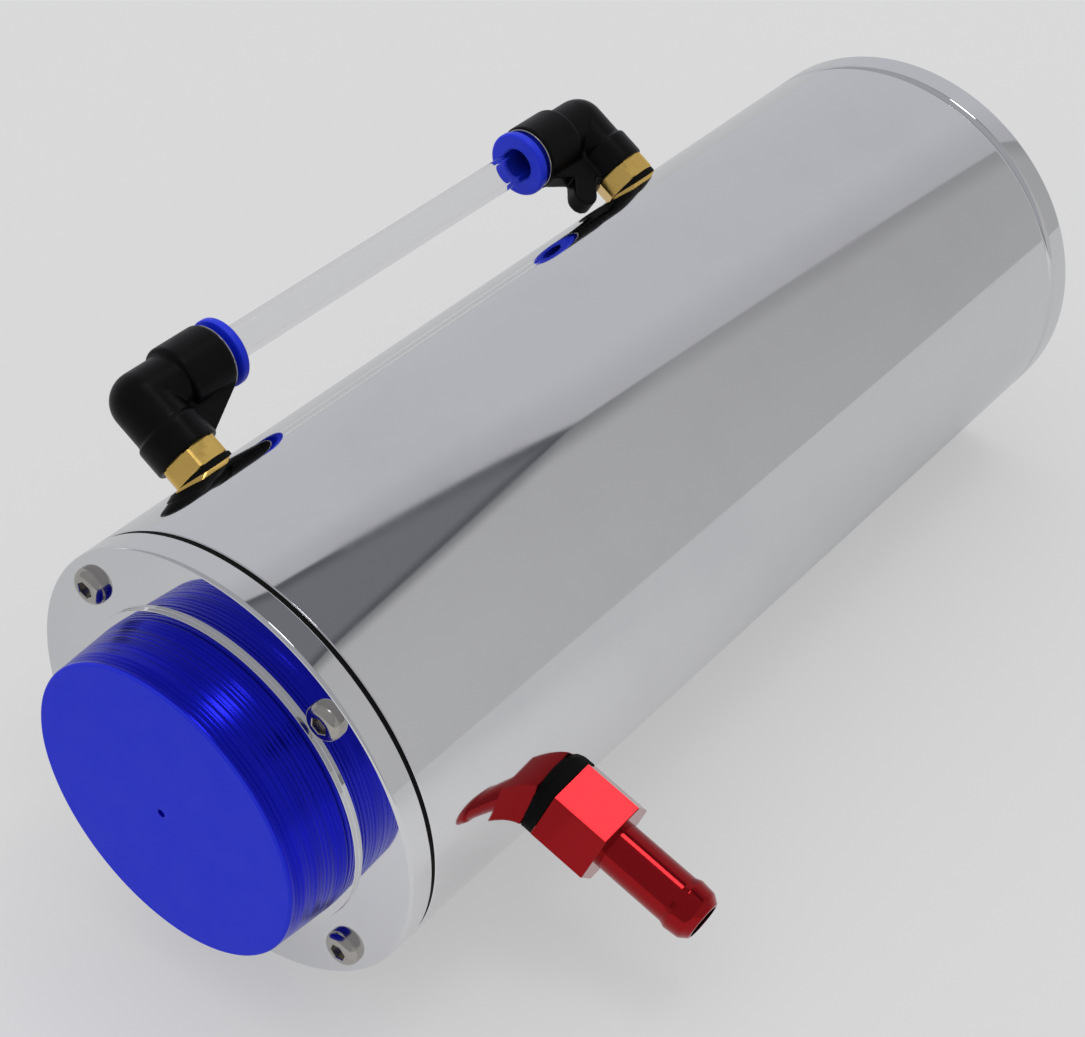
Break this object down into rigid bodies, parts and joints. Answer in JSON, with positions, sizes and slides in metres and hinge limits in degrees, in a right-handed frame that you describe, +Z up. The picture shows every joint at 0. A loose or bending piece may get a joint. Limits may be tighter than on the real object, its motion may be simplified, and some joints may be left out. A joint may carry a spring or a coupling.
{
  "type": "coolant overflow tank",
  "caption": "Cylindrical polished aluminium coolant overflow tank with a screw-on filler cap, a barbed hose fitting and a clear sight tube between push-in elbows.",
  "frame": {"origin": "centre of the base plate's outer face", "axes": "+X is the tank's axis out of the base, so the filler cap is towards -X; +Z is up as the tank lies; +Y is to the side that the sight tube leans to"},
  "size_m": [0.2067, 0.1174, 0.0762],
  "materials": {
    "polished_aluminium": "mirror-polished, bare",
    "plain_aluminium": "as turned or drawn, bare",
    "blue_anodised": "blue anodised, matt turned face and satin side",
    "red_anodised": "red anodised, bright",
    "brass": "machined, bright",
    "black_plastic": "moulded, semi-gloss",
    "blue_plastic": "moulded, semi-gloss",
    "clear_plastic": "clear, smooth",
    "black_rubber": "matt",
    "steel": "bright, stainless"
  },
  "bodies": {
    "tank": {"tank_tube": "polished_aluminium", "base_plate": "polished_aluminium", "mouth_ring": "plain_aluminium", "flange_gasket": "black_rubber", "top_flange": "polished_aluminium", "flange_screws": "steel", "port_boss": "plain_aluminium", "port_washer": "black_rubber", "barb_fitting": "red_anodised", "pickup_pipe": "plain_aluminium", "sight_tube": "clear_plastic", "gauge_boss_upper": "plain_aluminium", "stud_washer_upper": "black_rubber", "stud_upper": "brass", "swivel_seal_upper": "black_rubber", "elbow_upper": "black_plastic", "tube_seal_upper": "black_rubber", "gripper_upper": "steel", "guide_ring_upper": "steel", "gauge_boss_lower": "plain_aluminium", "stud_washer_lower": "black_rubber", "stud_lower": "brass", "swivel_seal_lower": "black_rubber", "elbow_lower": "black_plastic", "tube_seal_lower": "black_rubber", "gripper_lower": "steel", "guide_ring_lower": "steel"},
    "cap_seal": {"cap_seal": "black_rubber"},
    "cap": {"filler_cap": "blue_anodised"},
    "collet_upper": {"collet_upper": "blue_plastic"},
    "collet_lower": {"collet_lower": "blue_plastic"}
  },
  "joints": [
    {"name": "cap_lift", "type": "slide", "parent": "tank", "child": "cap_seal", "axis": [-1, 0, 0], "range_m": [0, 0.0101]},
    {"name": "cap_turn", "type": "hinge", "parent": "cap_seal", "child": "cap", "pos_m": [-0.1951, 0, 0], "axis": [-1, 0, 0], "range_deg": [0, 1800]},
    {"name": "collet_upper_press", "type": "slide", "parent": "tank", "child": "collet_upper", "axis": [-1, 0, 0], "range_m": [0, 0.001], "stiffness_N_per_m": 500},
    {"name": "collet_lower_press", "type": "slide", "parent": "tank", "child": "collet_lower", "axis": [1, 0, 0], "range_m": [0, 0.001], "stiffness_N_per_m": 500}
  ],
  "couplings": [
    {"joint": "cap_lift", "follows": "cap_turn", "m_per_rad": 0.00031831}
  ]
}
